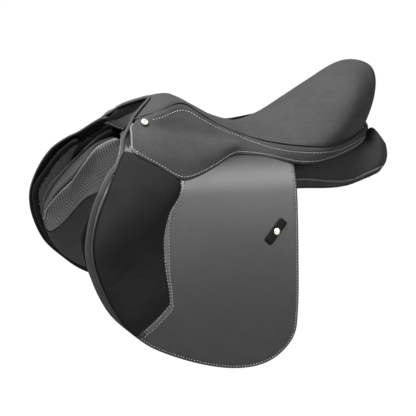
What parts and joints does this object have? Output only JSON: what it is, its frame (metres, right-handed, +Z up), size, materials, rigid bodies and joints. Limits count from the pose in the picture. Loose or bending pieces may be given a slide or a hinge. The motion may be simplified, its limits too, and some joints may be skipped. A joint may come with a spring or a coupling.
{
  "type": "jumping saddle",
  "caption": "Close-contact jumping saddle: deep suede seat, forward flaps with padded knee rolls, skirts that lift over the stirrup bars, flocked panels and girth straps.",
  "frame": {"origin": "in the middle of the gullet channel's roof line, over the horse's spine, 0.11 m behind the pommel's front edge", "axes": "+X from pommel to cantle, +Y to the horse's right, +Z up"},
  "size_m": [0.6353, 0.4128, 0.4875],
  "materials": {
    "seat_suede": "napped synthetic suede, dark grey",
    "trim_suede": "napped synthetic suede, near black",
    "knee_suede": "napped synthetic suede, near black",
    "panel_suede": "napped synthetic suede, bearing face dotted",
    "flap_leather": "smooth fine-grained synthetic leather, satin",
    "strap_leather": "smooth, satin black",
    "stud_metal": "polished, domed",
    "steel": "satin",
    "tree_laminate": "moulded, matt",
    "webbing": "woven, undyed",
    "foam": "open-cell foam"
  },
  "bodies": {
    "saddle": {"tree": "tree_laminate", "gullet_plate": "steel", "gullet_screws": "steel", "seat_webbing": "webbing", "seat_foam": "foam", "seat_cover": "seat_suede", "pommel_facing": "trim_suede", "stirrup_bar_l": "steel", "stirrup_bar_r": "steel", "bar_rivets": "steel", "catch_pins": "steel", "skirt_band_l": "seat_suede", "skirt_band_r": "seat_suede", "seat_stud_l": "stud_metal", "seat_stud_r": "stud_metal", "panel_l": "panel_suede", "panel_r": "panel_suede", "sweat_flap_l": "trim_suede", "sweat_flap_r": "trim_suede", "knee_block_l": "foam", "knee_block_r": "foam", "girth_web_l": "webbing", "girth_web_r": "webbing", "flap_root_l": "flap_leather", "flap_root_r": "flap_leather"},
    "flap_l": {"flap_l": "flap_leather", "knee_pad_l": "knee_suede", "keeper_l": "strap_leather", "keeper_stud_l": "stud_metal"},
    "skirt_l": {"skirt_l": "seat_suede"},
    "catch_l": {"catch_l": "steel"},
    "strap_l1": {"strap_l1": "strap_leather"},
    "strap_l2": {"strap_l2": "strap_leather"},
    "strap_l3": {"strap_l3": "strap_leather"},
    "flap_r": {"flap_r": "flap_leather", "knee_pad_r": "knee_suede", "keeper_r": "strap_leather", "keeper_stud_r": "stud_metal"},
    "skirt_r": {"skirt_r": "seat_suede"},
    "catch_r": {"catch_r": "steel"},
    "strap_r1": {"strap_r1": "strap_leather"},
    "strap_r2": {"strap_r2": "strap_leather"},
    "strap_r3": {"strap_r3": "strap_leather"}
  },
  "joints": [
    {"name": "flap_lift_l", "type": "hinge", "parent": "saddle", "child": "flap_l", "pos_m": [-0.24194, -0.08238, 0.06858], "axis": [-0.9803, 0.0827, 0.1793], "range_deg": [0, 75]},
    {"name": "skirt_lift_l", "type": "hinge", "parent": "saddle", "child": "skirt_l", "pos_m": [-0.16979, -0.06199, 0.09781], "axis": [-0.9663, 0.0942, 0.2397], "range_deg": [0, 60]},
    {"name": "catch_turn_l", "type": "hinge", "parent": "saddle", "child": "catch_l", "pos_m": [-0.05466, -0.09003, 0.05214], "axis": [-0.0643, 0.6756, -0.7345], "range_deg": [0, 60]},
    {"name": "strap_swing_l1", "type": "hinge", "parent": "saddle", "child": "strap_l1", "pos_m": [-0.02312, -0.11409, 0.01114], "axis": [-0.0465, 0.846, -0.5311], "range_deg": [-2, 2]},
    {"name": "strap_swing_l2", "type": "hinge", "parent": "saddle", "child": "strap_l2", "pos_m": [0.01872, -0.11409, 0.00748], "axis": [-0.0465, 0.846, -0.5311], "range_deg": [-2, 2]},
    {"name": "strap_swing_l3", "type": "hinge", "parent": "saddle", "child": "strap_l3", "pos_m": [0.06056, -0.11409, 0.00382], "axis": [-0.0465, 0.846, -0.5311], "range_deg": [-2, 2]},
    {"name": "flap_lift_r", "type": "hinge", "parent": "saddle", "child": "flap_r", "pos_m": [-0.24194, 0.08238, 0.06858], "axis": [0.9803, 0.0827, -0.1793], "range_deg": [0, 75]},
    {"name": "skirt_lift_r", "type": "hinge", "parent": "saddle", "child": "skirt_r", "pos_m": [-0.16979, 0.06199, 0.09781], "axis": [0.9663, 0.0942, -0.2397], "range_deg": [0, 60]},
    {"name": "catch_turn_r", "type": "hinge", "parent": "saddle", "child": "catch_r", "pos_m": [-0.05466, 0.09003, 0.05214], "axis": [0.0643, 0.6756, 0.7345], "range_deg": [0, 60]},
    {"name": "strap_swing_r1", "type": "hinge", "parent": "saddle", "child": "strap_r1", "pos_m": [-0.02312, 0.11409, 0.01114], "axis": [0.0465, 0.846, 0.5311], "range_deg": [-2, 2]},
    {"name": "strap_swing_r2", "type": "hinge", "parent": "saddle", "child": "strap_r2", "pos_m": [0.01872, 0.11409, 0.00748], "axis": [0.0465, 0.846, 0.5311], "range_deg": [-2, 2]},
    {"name": "strap_swing_r3", "type": "hinge", "parent": "saddle", "child": "strap_r3", "pos_m": [0.06056, 0.11409, 0.00382], "axis": [0.0465, 0.846, 0.5311], "range_deg": [-2, 2]}
  ],
  "couplings": [
    {"joint": "skirt_lift_l", "follows": "flap_lift_l", "ratio": 0.8},
    {"joint": "skirt_lift_r", "follows": "flap_lift_r", "ratio": 0.8}
  ]
}
